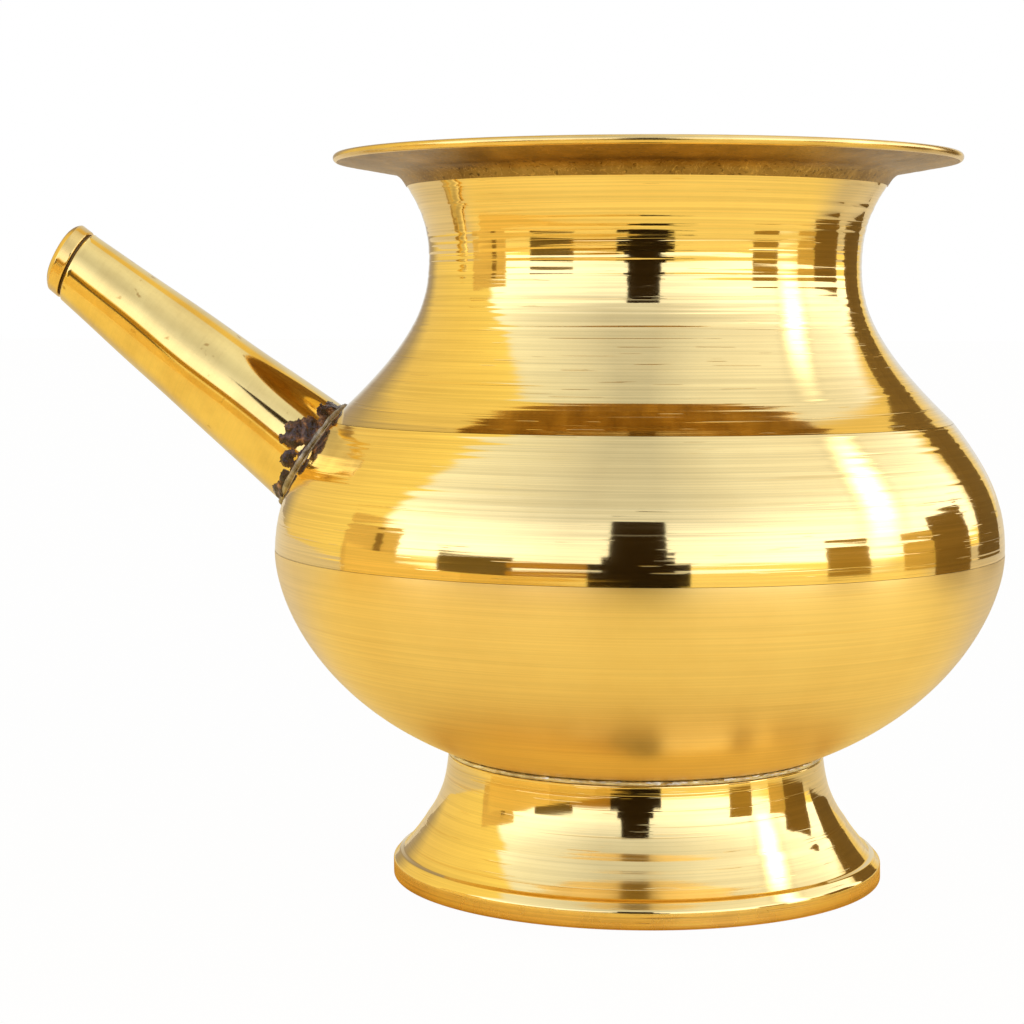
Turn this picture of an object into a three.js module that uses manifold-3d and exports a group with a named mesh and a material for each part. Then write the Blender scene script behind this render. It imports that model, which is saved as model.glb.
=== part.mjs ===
// A neti pot: a small brass pot with a slanted spout, used to rinse the nose with water.
// Its pieces are cast or turned, slip into each other, and are brazed or soldered together.
// Millimetres, +Z up, spout towards -X. The origin is on the table, in the middle of the footprint box.
import * as THREE from 'three';
import { mergeVertices } from 'three/addons/utils/BufferGeometryUtils.js';
import Module from 'manifold-3d';

// Bowl and shoulder: outside sizes, with heights that stack up from the table
const BASE_HEIGHT = 14.8;
const BOWL_DEPTH = 36.1;
const BELLY_RADIUS = 56;
const SHOULDER_RISE = 19.7;
const SHOULDER_INSET = 8.3;

// How long the bowl stays level at its base and upright at its belly, as shares of its width and depth
const BOWL_LEVEL_SHARE = 0.77;
const BOWL_UPRIGHT_SHARE = 0.29;

// Neck and rim, on top of the shoulder
const NECK_RISE = 24;
const NECK_INSET = 14.5;
const MOUTH_RISE = 11.7;
const MOUTH_FLARE = 3.5;
const COLLAR_LENGTH = 2.2;
const RIM_OVERHANG = 11.2;
const RIM_THICKNESS = 1.35;
const RIM_TILT = 10;

// Lean of the outline off upright, in degrees, at the shoulder crease, the rim joint and the foot's band
const CREASE_LEAN_BELOW = 38.6;
const CREASE_LEAN_ABOVE = 46.6;
const COLLAR_LEAN = 32.7;
const FOOT_LEAN = 48;

// How far each curve of the outline keeps the lean of its ends, as a share of its height
const BEND_SHARE = 0.37;

// Walls and lap joints of the vessel: each joint is a spigot in a socket, with filler behind the spigot's end
const WALL = 1.5;
const LAP_LENGTH = 4;
const FILLER_WIDTH = 1.1;
const FILLER_CROWN = 0.25;
const JOINT_GAP = 0.15;

// Hollow foot
const FOOT_RADIUS = 37.9;
const FOOT_BAND_HEIGHT = 2.7;
const FOOT_BAND_WIDTH = 3;
const FOOT_LIP_RADIUS = 29.3;
const FOOT_LIP_WIDTH = 1.6;
const SOLDER_THICKNESS = 0.4;

// Spout: the root's height above the belly line, and lengths along the spout from the shoulder's face.
// Its end is out of square by the skew, in degrees, and is longest on top.
const SPOUT_RISE = 14.5;
const SPOUT_ELEVATION = 38.1;
const SPOUT_LENGTH = 46.6;
const SPOUT_ROOT_RADIUS = 8.8;
const SPOUT_TIP_RADIUS = 5.6;
const SPOUT_WALL = 1.2;
const SPOUT_END_ROUND = 0.6;
const SPOUT_END_SKEW = 10.5;
const SPOUT_HOLE_RADIUS = 5.7;
const SEAT_GAP = 0.3;
const BRAZE_SIZE = 1.2;

// Nosepiece in the end of the spout
const NOSE_SPIGOT_LENGTH = 6;
const NOSE_GROOVE_WIDTH = 0.6;
const NOSE_GROOVE_DEPTH = 0.5;
const NOSE_BEAD_LENGTH = 2.6;
const NOSE_ROUND = 1;
const NOSE_BORE_RADIUS = 2.6;

// Facets round the vessel and round the spout, and steps along each stretch of an outline
const VESSEL_SEGMENTS = 40;
const SPOUT_SEGMENTS = 28;
const BOWL_STEPS = 10;
const SHOULDER_STEPS = 5;
const NECK_STEPS = 11;
const LAP_STEPS = 2;
const FLARE_STEPS = 7;
const EDGE_STEPS = 6;
const ROUND_STEPS = 3;

const wasm = await Module();
wasm.setup();

const brassFinish = { metalness: 1, roughness: 0.22 };
const turnedBrass = new THREE.MeshStandardMaterial({ color: '#c9a24c', ...brassFinish });
const satinBrass = new THREE.MeshStandardMaterial({ color: '#c49a48', ...brassFinish, roughness: 0.34 });
const castBrass = new THREE.MeshStandardMaterial({ color: '#a47f3e', ...brassFinish, roughness: 0.45 });
const braze = new THREE.MeshStandardMaterial({ color: '#857660', metalness: 0.8, roughness: 0.6 });
const solder = new THREE.MeshStandardMaterial({ color: '#b8b2a5', metalness: 0.8, roughness: 0.55 });

const point = (x, y) => new THREE.Vector2(x, y);
const slope = (degrees) => Math.tan(THREE.MathUtils.degToRad(degrees));

/** A rising curve of the outline between two points, with its lean off upright at each end. */
function bend(from, fromLean, to, toLean) {
  const reach = BEND_SHARE * (to.y - from.y);
  const leave = point(from.x + reach * slope(fromLean), from.y + reach);
  const arrive = point(to.x - reach * slope(toLean), to.y - reach);
  return new THREE.CubicBezierCurve(from, leave, arrive, to);
}

/** The point at a distance along a rising outline, set inward by a depth. A point on the axis stays on it. */
function at(curve, distance, depth) {
  const share = THREE.MathUtils.clamp(distance / curve.getLength(), 0, 1);
  const place = curve.getPointAt(share);
  const heading = curve.getTangentAt(share);
  const radius = place.x === 0 ? 0 : place.x - depth * heading.y;
  return point(radius, place.y + depth * heading.x);
}

/** Evenly spaced points between two distances along a rising outline, set inward by a depth. */
function along(curve, from, to, depth, steps) {
  const points = [];
  for (let step = 0; step <= steps; step += 1) {
    points.push(at(curve, THREE.MathUtils.lerp(from, to, step / steps), depth));
  }
  return points;
}

/** The distance along an outline at which one of its coordinates reaches a value. */
function distanceWhere(curve, coordinate, value) {
  const HALVINGS = 40;
  let low = 0;
  let high = 1;
  for (let halving = 0; halving < HALVINGS; halving += 1) {
    const middle = (low + high) / 2;
    if (curve.getPointAt(middle)[coordinate] < value) low = middle;
    else high = middle;
  }
  return low * curve.getLength();
}

/** Where the line through one point along its heading meets the line through another. */
function meeting(start, heading, other, otherHeading) {
  const gap = other.clone().sub(start);
  return start.clone().addScaledVector(heading, gap.cross(otherHeading) / heading.cross(otherHeading));
}

/** A turned body about +Z from its outline of radius and height. */
function turned(outline, segments) {
  return new THREE.LatheGeometry(outline, segments).rotateX(Math.PI / 2);
}

/** A turned ring: its outline closes on itself. */
function turnedRing(outline, segments) {
  return turned([...outline, outline[0].clone()], segments);
}

/** A plain cone about +Z that reaches as far below the origin as above it. */
function cone(lowRadius, highRadius, reach) {
  const outline = [point(0, -reach), point(lowRadius, -reach), point(highRadius, reach), point(0, reach)];
  return turned(outline, SPOUT_SEGMENTS);
}

/** The solid of a closed geometry, for cutting. */
function solidOf(geometry) {
  const bare = geometry.clone();
  bare.deleteAttribute('normal');
  bare.deleteAttribute('uv');
  const merged = mergeVertices(bare);
  const triVerts = new Uint32Array(merged.index.array);
  const vertProperties = new Float32Array(merged.attributes.position.array);
  return new wasm.Manifold(new wasm.Mesh({ numProp: 3, vertProperties, triVerts }));
}

/** The geometry of a cut solid. */
function geometryOf(solid) {
  const mesh = solid.getMesh();
  const geometry = new THREE.BufferGeometry();
  geometry.setAttribute('position', new THREE.BufferAttribute(mesh.vertProperties, mesh.numProp));
  geometry.setIndex(new THREE.BufferAttribute(mesh.triVerts, 1));
  geometry.computeVertexNormals();
  return geometry;
}

function piece(name, geometry, material) {
  const mesh = new THREE.Mesh(geometry, material);
  mesh.name = name;
  return mesh;
}

// Outline of the vessel: bowl, shoulder and neck, each a rising curve of radius and height
const base = point(0, BASE_HEIGHT);
const belly = point(BELLY_RADIUS, base.y + BOWL_DEPTH);
const crease = point(BELLY_RADIUS - SHOULDER_INSET, belly.y + SHOULDER_RISE);
const waist = point(crease.x - NECK_INSET, crease.y + NECK_RISE);
const collar = point(waist.x + MOUTH_FLARE, waist.y + MOUTH_RISE);

const bowlCurve = new THREE.CubicBezierCurve(
  base,
  point(BOWL_LEVEL_SHARE * BELLY_RADIUS, base.y),
  point(BELLY_RADIUS, belly.y - BOWL_UPRIGHT_SHARE * BOWL_DEPTH),
  belly,
);
const shoulderCurve = bend(belly, 0, crease, -CREASE_LEAN_BELOW);
const neckCurve = new THREE.CurvePath();
neckCurve.add(bend(crease, -CREASE_LEAN_ABOVE, waist, 0));
neckCurve.add(bend(waist, 0, collar, COLLAR_LEAN));

const bowlEnd = bowlCurve.getLength();
const shoulderEnd = shoulderCurve.getLength();
const neckEnd = neckCurve.getLength();

// Lap joints: depth of the spigot's outer face and of the socket's inner face, and where a socket ends
const spigotDepth = (WALL + JOINT_GAP) / 2;
const socketDepth = (WALL - JOINT_GAP) / 2;
const socketLength = LAP_LENGTH + FILLER_WIDTH + 2 * JOINT_GAP;

/** The closed cup below the belly line, with a spigot that rises into the shoulder band. */
function lowerBowl() {
  const outline = [
    ...along(bowlCurve, 0, bowlEnd, 0, BOWL_STEPS),
    ...along(shoulderCurve, 0, LAP_LENGTH, spigotDepth, LAP_STEPS),
    ...along(shoulderCurve, LAP_LENGTH, 0, WALL, LAP_STEPS),
    ...along(bowlCurve, bowlEnd, 0, WALL, BOWL_STEPS).slice(1),
  ];
  return piece('lower_bowl', turned(outline, VESSEL_SEGMENTS), satinBrass);
}

/** The band from belly line to crease: a socket below, a spigot above, and a hole behind the spout. */
function shoulderBand(spoutFrame) {
  // Inside the crease the two curves' inner faces would cross, so they stop short of it
  const creaseEase = WALL / 2;
  const outline = [
    ...along(shoulderCurve, JOINT_GAP, shoulderEnd, 0, SHOULDER_STEPS),
    ...along(neckCurve, 0, LAP_LENGTH, spigotDepth, LAP_STEPS),
    ...along(neckCurve, LAP_LENGTH, creaseEase, WALL, LAP_STEPS),
    ...along(shoulderCurve, shoulderEnd - creaseEase, socketLength, WALL, SHOULDER_STEPS),
    ...along(shoulderCurve, socketLength, JOINT_GAP, socketDepth, LAP_STEPS),
  ];
  const band = solidOf(turnedRing(outline, VESSEL_SEGMENTS));
  const hole = cone(SPOUT_HOLE_RADIUS, SPOUT_HOLE_RADIUS, SPOUT_ROOT_RADIUS).applyMatrix4(spoutFrame);
  return piece('shoulder_band', geometryOf(band.subtract(solidOf(hole))), turnedBrass);
}

/** The concave sleeve from the crease to the rim, with a socket at each end. */
function neckSleeve() {
  const outline = [
    ...along(neckCurve, JOINT_GAP, neckEnd - JOINT_GAP, 0, NECK_STEPS),
    ...along(neckCurve, neckEnd - JOINT_GAP, neckEnd - socketLength, socketDepth, LAP_STEPS),
    ...along(neckCurve, neckEnd - socketLength, socketLength, WALL, NECK_STEPS),
    ...along(neckCurve, socketLength, JOINT_GAP, socketDepth, LAP_STEPS),
  ];
  return piece('neck_sleeve', turnedRing(outline, VESSEL_SEGMENTS), turnedBrass);
}

/** The cast rim: a tilted flange with a round edge, on a collar whose spigot goes down into the neck. */
function rimFlange() {
  const COLLAR_STRAIGHT_SHARE = 0.4;
  const tilt = THREE.MathUtils.degToRad(RIM_TILT);
  const outward = point(Math.cos(tilt), Math.sin(tilt));
  const acrossFlange = point(-outward.y, outward.x);
  const upCollar = neckCurve.getTangentAt(1);
  const halfThick = RIM_THICKNESS / 2;

  const outerCorner = collar.clone().addScaledVector(upCollar, COLLAR_LENGTH);
  const edge = outerCorner.clone().addScaledVector(acrossFlange, halfThick);
  edge.addScaledVector(outward, (collar.x + RIM_OVERHANG - halfThick - edge.x) / outward.x);
  const quarter = Math.PI / 2;
  const edgeArc = new THREE.EllipseCurve(
    edge.x,
    edge.y,
    halfThick,
    halfThick,
    tilt - quarter,
    tilt + quarter,
  );
  const edgePoints = edgeArc.getPoints(EDGE_STEPS);

  const filletStart = collar.clone().lerp(outerCorner, COLLAR_STRAIGHT_SHARE);
  const filletEnd = outerCorner.clone().addScaledVector(outward, filletStart.distanceTo(outerCorner));
  const fillet = new THREE.QuadraticBezierCurve(filletStart, outerCorner, filletEnd);

  const innerJoint = at(neckCurve, neckEnd, WALL);
  const innerCorner = meeting(innerJoint, upCollar, edgePoints[EDGE_STEPS], outward);
  const mouthStart = innerCorner.clone().addScaledVector(outward, innerJoint.distanceTo(innerCorner));
  const mouth = new THREE.QuadraticBezierCurve(mouthStart, innerCorner, innerJoint);

  const outline = [
    collar,
    ...fillet.getPoints(ROUND_STEPS),
    ...edgePoints,
    ...mouth.getPoints(ROUND_STEPS),
    ...along(neckCurve, neckEnd, neckEnd - LAP_LENGTH, WALL, LAP_STEPS).slice(1),
    ...along(neckCurve, neckEnd - LAP_LENGTH, neckEnd, spigotDepth, LAP_STEPS),
  ];
  return piece('rim_flange', turnedRing(outline, VESSEL_SEGMENTS), castBrass);
}

/** The filler ring in the channel between a spigot's end and the end of its socket. */
function fillerRing(name, curve, spigotEnd, socketEnd) {
  const low = Math.min(spigotEnd, socketEnd) + JOINT_GAP;
  const high = Math.max(spigotEnd, socketEnd) - JOINT_GAP;
  const outline = [
    at(curve, low, socketDepth + JOINT_GAP),
    at(curve, high, socketDepth + JOINT_GAP),
    at(curve, high, WALL),
    at(curve, (low + high) / 2, WALL + FILLER_CROWN),
    at(curve, low, WALL),
  ];
  return piece(name, turnedRing(outline, VESSEL_SEGMENTS), braze);
}

// The stretch of the bowl's underside that the foot's lip is soldered to
const seatInner = distanceWhere(bowlCurve, 'x', FOOT_LIP_RADIUS - FOOT_LIP_WIDTH);
const seatOuter = distanceWhere(bowlCurve, 'x', FOOT_LIP_RADIUS);

/** The hollow foot: a plain band on the table, flaring in to a lip turned to the bowl's slope. */
function pedestalFoot() {
  const lipInner = at(bowlCurve, seatInner, -SOLDER_THICKNESS - 2 * JOINT_GAP);
  const lipOuter = at(bowlCurve, seatOuter, -SOLDER_THICKNESS - 2 * JOINT_GAP);
  const innerRadius = FOOT_RADIUS - FOOT_BAND_WIDTH;
  const outerFlare = bend(point(FOOT_RADIUS, FOOT_BAND_HEIGHT), -FOOT_LEAN, lipOuter, 0);
  const innerFlare = bend(point(innerRadius, FOOT_BAND_HEIGHT), -FOOT_LEAN, lipInner, 0);
  const outline = [
    point(innerRadius, 0),
    point(FOOT_RADIUS, 0),
    ...outerFlare.getPoints(FLARE_STEPS),
    ...innerFlare.getPoints(FLARE_STEPS).reverse(),
  ];
  return piece('pedestal_foot', turnedRing(outline, VESSEL_SEGMENTS), turnedBrass);
}

/** The solder between the foot's lip and the bowl. */
function footSolderRing() {
  const outline = [
    ...along(bowlCurve, seatInner, seatOuter, -SOLDER_THICKNESS - JOINT_GAP, LAP_STEPS),
    ...along(bowlCurve, seatOuter, seatInner, -JOINT_GAP, LAP_STEPS),
  ];
  return piece('foot_solder_ring', turnedRing(outline, VESSEL_SEGMENTS), solder);
}

/** The outer radius of the spout at a distance from its root. */
function spoutRadius(distance) {
  return THREE.MathUtils.lerp(SPOUT_ROOT_RADIUS, SPOUT_TIP_RADIUS, distance / SPOUT_LENGTH);
}

/** The solid body inside the vessel's outline, grown by a distance. */
function grownVessel(growth) {
  const outline = [
    ...along(bowlCurve, 0, bowlEnd, -growth, BOWL_STEPS),
    ...along(shoulderCurve, JOINT_GAP, shoulderEnd, -growth, SHOULDER_STEPS),
    ...along(neckCurve, JOINT_GAP, neckEnd - JOINT_GAP, -growth, NECK_STEPS),
  ];
  outline.push(point(0, outline[outline.length - 1].y));
  return solidOf(turned(outline, VESSEL_SEGMENTS));
}

/** The solid cone inside the spout's outer face near its root, grown by a distance. */
function grownSpout(growth, spoutFrame) {
  const reach = SPOUT_ROOT_RADIUS;
  const body = cone(spoutRadius(-reach) + growth, spoutRadius(reach) + growth, reach);
  return solidOf(body.applyMatrix4(spoutFrame));
}

/** Sets the spout's end out of square: points past its root move along it by how far they lie above its axis. */
function skewEnd(geometry) {
  const places = geometry.getAttribute('position');
  for (let index = 0; index < places.count; index += 1) {
    const distance = places.getZ(index);
    if (distance > 0) places.setZ(index, distance + places.getX(index) * slope(SPOUT_END_SKEW));
  }
  geometry.computeVertexNormals();
  return geometry;
}

/** The tapered tube, cut to the shoulder's face at its root and rounded at its end. */
function spoutTube(spoutFrame) {
  const inset = SPOUT_ROOT_RADIUS;
  const roundStart = SPOUT_LENGTH - SPOUT_END_ROUND;
  const roundEnd = point(spoutRadius(SPOUT_LENGTH) - SPOUT_END_ROUND, SPOUT_LENGTH);
  const round = new THREE.QuadraticBezierCurve(
    point(spoutRadius(roundStart), roundStart),
    point(spoutRadius(SPOUT_LENGTH), SPOUT_LENGTH),
    roundEnd,
  );
  const outline = [
    point(spoutRadius(-inset) - SPOUT_WALL, -inset),
    point(spoutRadius(-inset), -inset),
    ...round.getPoints(ROUND_STEPS),
    point(spoutRadius(SPOUT_LENGTH) - SPOUT_WALL, SPOUT_LENGTH),
  ];
  const tube = solidOf(skewEnd(turnedRing(outline, SPOUT_SEGMENTS)).applyMatrix4(spoutFrame));
  return piece('spout_tube', geometryOf(tube.subtract(grownVessel(SEAT_GAP))), turnedBrass);
}

/** The bead of braze in the corner all round the spout's root. */
function spoutBrazeFillet(spoutFrame) {
  const outside = SEAT_GAP + BRAZE_SIZE;
  const bead = grownSpout(outside, spoutFrame).intersect(grownVessel(outside));
  const clear = bead.subtract(grownSpout(SEAT_GAP, spoutFrame)).subtract(grownVessel(SEAT_GAP));
  return piece('spout_braze_fillet', geometryOf(clear), braze);
}

/** The bored tip: a tapered spigot inside the tube, a groove at the tube's end and a round-nosed bead. */
function spoutNosepiece() {
  const inner = SPOUT_LENGTH - NOSE_SPIGOT_LENGTH;
  const seat = SPOUT_LENGTH + JOINT_GAP;
  const beadStart = seat + NOSE_GROOVE_WIDTH;
  const end = beadStart + NOSE_BEAD_LENGTH;
  const spigotRadius = (distance) => spoutRadius(distance) - SPOUT_WALL - JOINT_GAP;
  const grooveRadius = SPOUT_TIP_RADIUS - NOSE_GROOVE_DEPTH;
  const nose = new THREE.QuadraticBezierCurve(
    point(SPOUT_TIP_RADIUS, end - NOSE_ROUND),
    point(SPOUT_TIP_RADIUS, end),
    point(SPOUT_TIP_RADIUS - NOSE_ROUND, end),
  );
  const outline = [
    point(NOSE_BORE_RADIUS, inner),
    point(spigotRadius(inner), inner),
    point(spigotRadius(seat), seat),
    point(grooveRadius, seat),
    point(grooveRadius, beadStart),
    point(SPOUT_TIP_RADIUS, beadStart),
    ...nose.getPoints(ROUND_STEPS),
    point(NOSE_BORE_RADIUS, end),
  ];
  return piece('spout_nosepiece', skewEnd(turnedRing(outline, SPOUT_SEGMENTS)), turnedBrass);
}

// The spout's own frame: it starts on the shoulder's face, with its axis along local +Z
const spoutRoot = at(shoulderCurve, distanceWhere(shoulderCurve, 'y', belly.y + SPOUT_RISE), 0);
const spout = new THREE.Group();
spout.position.set(-spoutRoot.x, 0, spoutRoot.y);
spout.rotation.y = THREE.MathUtils.degToRad(SPOUT_ELEVATION - 90);
spout.updateMatrix();
spout.add(spoutNosepiece());

const pot = new THREE.Group();
pot.add(
  lowerBowl(),
  fillerRing('belly_braze_ring', shoulderCurve, LAP_LENGTH, socketLength),
  shoulderBand(spout.matrix),
  fillerRing('shoulder_braze_ring', neckCurve, LAP_LENGTH, socketLength),
  neckSleeve(),
  fillerRing('rim_braze_ring', neckCurve, neckEnd - LAP_LENGTH, neckEnd - socketLength),
  rimFlange(),
  pedestalFoot(),
  footSolderRing(),
  spoutTube(spout.matrix),
  spoutBrazeFillet(spout.matrix),
  spout,
);

// The pot stands with the middle of its footprint box over the origin
const netiPot = new THREE.Group();
netiPot.add(pot);
const footprint = new THREE.Box3().setFromObject(pot, true);
pot.position.x = -(footprint.min.x + footprint.max.x) / 2;

export default netiPot;
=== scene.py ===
import math

import bmesh
import bpy
import numpy as np
from mathutils import Matrix, Vector


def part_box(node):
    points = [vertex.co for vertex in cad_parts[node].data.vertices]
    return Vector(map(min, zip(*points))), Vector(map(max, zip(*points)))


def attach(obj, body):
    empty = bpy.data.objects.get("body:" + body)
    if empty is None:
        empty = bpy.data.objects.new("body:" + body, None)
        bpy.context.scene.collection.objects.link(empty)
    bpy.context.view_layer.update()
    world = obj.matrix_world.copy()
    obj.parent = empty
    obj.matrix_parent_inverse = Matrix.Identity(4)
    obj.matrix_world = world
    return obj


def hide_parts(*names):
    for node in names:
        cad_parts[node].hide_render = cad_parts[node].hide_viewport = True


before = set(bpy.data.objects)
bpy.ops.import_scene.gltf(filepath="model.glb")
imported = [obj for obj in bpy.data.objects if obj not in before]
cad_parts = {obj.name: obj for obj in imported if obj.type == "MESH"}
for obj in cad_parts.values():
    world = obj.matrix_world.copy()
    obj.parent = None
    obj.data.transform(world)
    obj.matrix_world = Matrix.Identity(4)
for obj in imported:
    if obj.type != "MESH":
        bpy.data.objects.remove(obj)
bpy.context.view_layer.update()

# CAMERA
# A long lens a little under 0.4 m in front of the pot, just below its rim and looking slightly down,
# turned a few degrees towards the spout so that the whole spout is in the frame.
CAMERA_PLACE = (0.03218, -0.3799, 0.0882)
CAMERA_AIM = Vector((-0.0868, 0.9927, -0.0837))
CAMERA_ROLL = math.radians(0.1)
LENS_LENGTH, SENSOR_WIDTH = 86.41, 36.0
NEAREST, FARTHEST = 0.01, 20.0
scene = bpy.context.scene
camera = bpy.data.objects.new("camera", bpy.data.cameras.new("camera"))
scene.collection.objects.link(camera)
scene.camera = camera
camera.data.lens, camera.data.sensor_width = LENS_LENGTH, SENSOR_WIDTH
camera.data.clip_start, camera.data.clip_end = NEAREST, FARTHEST
look = CAMERA_AIM.to_track_quat("-Z", "Y").to_matrix() @ Matrix.Rotation(CAMERA_ROLL, 3, "Z")
camera.matrix_world = Matrix.Translation(CAMERA_PLACE) @ look.to_4x4()

# STUDIO
# A pale warm table in a bright room: cool walls that are lightest near the table, a warm screen on the
# left, one soft leaning lamp on the right, and the dark shapes of the camera and of low furniture.
WHITE = (1.0, 1.0, 1.0, 1.0)
scene.view_settings.view_transform = "Standard"


def shade(tree, kind, inputs=None, **settings):
    """Adds a shader node. Its inputs are set by name or number, and a socket among them is linked."""
    made = tree.nodes.new("ShaderNode" + kind)
    for key, value in settings.items():
        setattr(made, key, value)
    for key, value in (inputs or {}).items():
        if isinstance(value, bpy.types.NodeSocket):
            tree.links.new(value, made.inputs[key])
        else:
            made.inputs[key].default_value = value
    return made


def math_node(tree, operation, a, b=0.0, c=0.0, clamp=False):
    """The output of a math node."""
    made = shade(tree, "Math", {0: a, 1: b, 2: c}, operation=operation, use_clamp=clamp)
    return made.outputs[0]


def between(tree, value, low, high, bottom=0.0, top=1.0, smooth=False):
    """A value stretched from one span onto another, evenly or with soft ends."""
    ends = "SMOOTHSTEP" if smooth else "LINEAR"
    spans = {0: value, 1: low, 2: high, 3: bottom, 4: top}
    return shade(tree, "MapRange", spans, interpolation_type=ends).outputs[0]


def color_mix(tree, factor, first, second, **settings):
    """Two colours mixed by a factor."""
    colors = {"Factor": factor, 6: first, 7: second}
    return shade(tree, "Mix", colors, data_type="RGBA", **settings).outputs[2]


def color_ramp(tree, value, stops):
    """The colours that a value picks from a row of stops."""
    made = shade(tree, "ValToRGB", {0: value})
    for index, (place, color) in enumerate(stops):
        stop = made.color_ramp.elements[index] if index < 2 else made.color_ramp.elements.new(place)
        stop.position = place
        stop.color = (*color, 1.0)
    return made.outputs["Color"]


def blank_material(name):
    """A new material with an empty node tree and its output node."""
    material = bpy.data.materials.new(name)
    material.use_nodes = True
    material.node_tree.nodes.clear()
    return material, material.node_tree, material.node_tree.nodes.new("ShaderNodeOutputMaterial")


def compass(degrees):
    """A bearing from the front, to the right, as a share of the full turn that starts behind."""
    return degrees / 360.0 + 0.5


ROOM_BY_HEIGHT = [
    (0.0, (1.0, 0.78, 0.28)), (0.055, (1.0, 0.78, 0.28)), (0.07, (1.4, 1.45, 1.62)), (0.3, (1.35, 1.4, 1.62)),
    (0.44, (1.1, 1.17, 1.4)), (0.57, (0.86, 0.92, 1.1)), (0.7, (0.72, 0.76, 0.87)), (1.0, (0.64, 0.67, 0.74)),
]
ROOM_BY_BEARING = [
    (compass(-180), (1.1, 1.08, 1.0)), (compass(-80), (1.5, 1.5, 1.4)), (compass(-45), (1.28, 1.28, 1.26)),
    (compass(-20), (1.06, 1.06, 1.06)), (compass(10), (1.06, 1.06, 1.06)), (compass(50), (1.46, 1.46, 1.42)),
    (compass(85), (1.55, 1.53, 1.44)), (compass(128), (1.4, 1.36, 1.24)), (compass(180), (1.1, 1.08, 1.0)),
]
SCREEN_BY_BEARING = [
    (compass(-88), (1, 1, 1)), (compass(-85), (0, 0, 0)), (compass(131), (0, 0, 0)), (compass(137), (1, 1, 1)),
]
SCREEN_TONES = [
    (compass(-180), (0.8, 0.8, 0.8)), (compass(-168), (0.8, 0.8, 0.8)), (compass(-159), (0.42, 0.35, 0.28)),
    (compass(-150), (0.46, 0.37, 0.22)), (compass(-139), (0.9, 0.7, 0.26)), (compass(-88), (1.12, 0.92, 0.32)),
    (compass(137), (0.95, 0.72, 0.26)), (compass(155), (0.95, 0.72, 0.26)), (compass(165), (0.8, 0.8, 0.8)),
    (compass(180), (0.8, 0.8, 0.8)),
]
room = bpy.data.worlds.new("room")
scene.world = room
room.use_nodes = True
tree = room.node_tree
tree.nodes.clear()
aim = shade(tree, "SeparateXYZ", {0: shade(tree, "TexCoord").outputs["Generated"]})
ahead = math_node(tree, "MULTIPLY", aim.outputs["Y"], -1.0)
bearing = math_node(tree, "ARCTAN2", aim.outputs["X"], ahead)
bearing = math_node(tree, "MULTIPLY_ADD", bearing, 0.5 / math.pi, 0.5)
by_height = color_ramp(tree, aim.outputs["Z"], ROOM_BY_HEIGHT)
by_bearing = color_ramp(tree, bearing, ROOM_BY_BEARING)
walls = color_mix(tree, 1.0, by_height, by_bearing, blend_type="MULTIPLY")
screen_share = color_ramp(tree, bearing, SCREEN_BY_BEARING)
room_color = color_mix(tree, screen_share, walls, color_ramp(tree, bearing, SCREEN_TONES))
rays = shade(tree, "LightPath")
seen = shade(tree, "Background", {"Color": WHITE})
glow = shade(tree, "Background", {"Color": room_color})
by_ray = {0: rays.outputs["Is Camera Ray"], 1: glow.outputs[0], 2: seen.outputs[0]}
both = shade(tree, "MixShader", by_ray)
shade(tree, "OutputWorld", {0: both.outputs[0]})


def card(name, corners, material):
    """A flat stage card through four corners. It is mirrored in the metal and not seen directly."""
    mesh = bpy.data.meshes.new(name)
    mesh.from_pydata(corners, [], [(0, 1, 2, 3)])
    layer = mesh.uv_layers.new(name="face")
    for loop, spot in zip(layer.data, ((0, 0), (1, 0), (1, 1), (0, 1))):
        loop.uv = spot
    mesh.materials.append(material)
    made = bpy.data.objects.new(name, mesh)
    scene.collection.objects.link(made)
    made.visible_camera = False
    return made


TABLE_REACH, TABLE_DROP = 6.0, -0.0001
TABLE_BY_DEPTH = [(0.0, (1.0, 0.82, 0.35)), (1.0, (0.72, 0.64, 0.5))]
TABLE_DEPTHS = (0.0, 0.12)
# A painted shadow of the pot on the table round its foot, tinted dark orange as painted bounce light from the
# brass, and the reach from the axis over which it fades.
PAINTED_FOOT_SHADOW, PAINTED_FOOT_SHADOW_REACH = (0.75, 0.42, 0.07, 1.0), (0.037, 0.054)
# The table's glow as the metal sees it, weaker near the pot as a painted contact shadow, and the reach over which
# it grows.
PAINTED_SHADOW_GLOW, PAINTED_SHADOW_GLOW_REACH = (0.85, 1.2), (0.035, 0.1)
WARM_SHARE, WHITE_SHARE = 0.4, 0.98
low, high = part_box("lower_bowl")
AXIS_X = (low.x + high.x) / 2
table_material, tree, out = blank_material("table_top")
rays = shade(tree, "LightPath")
spot = shade(tree, "TexCoord").outputs["Object"]
from_axis = {0: spot, 1: (AXIS_X, 0.0, 0.0)}
away = shade(tree, "VectorMath", from_axis, operation="DISTANCE").outputs["Value"]
place = shade(tree, "SeparateXYZ", {0: spot})
depth = between(tree, place.outputs["Y"], *TABLE_DEPTHS, smooth=True)
# Close to the foot the table's tint turns to the painted shadow's dark orange; farther out it keeps its own colour.
clear_of_painted_shadow = between(tree, away, *PAINTED_FOOT_SHADOW_REACH, smooth=True)
tint_and_painted_shadow = color_mix(tree, clear_of_painted_shadow, PAINTED_FOOT_SHADOW, color_ramp(tree, depth, TABLE_BY_DEPTH))
paper = shade(tree, "BsdfDiffuse", {"Color": tint_and_painted_shadow})
white = shade(tree, "Emission", {"Color": WHITE})
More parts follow.
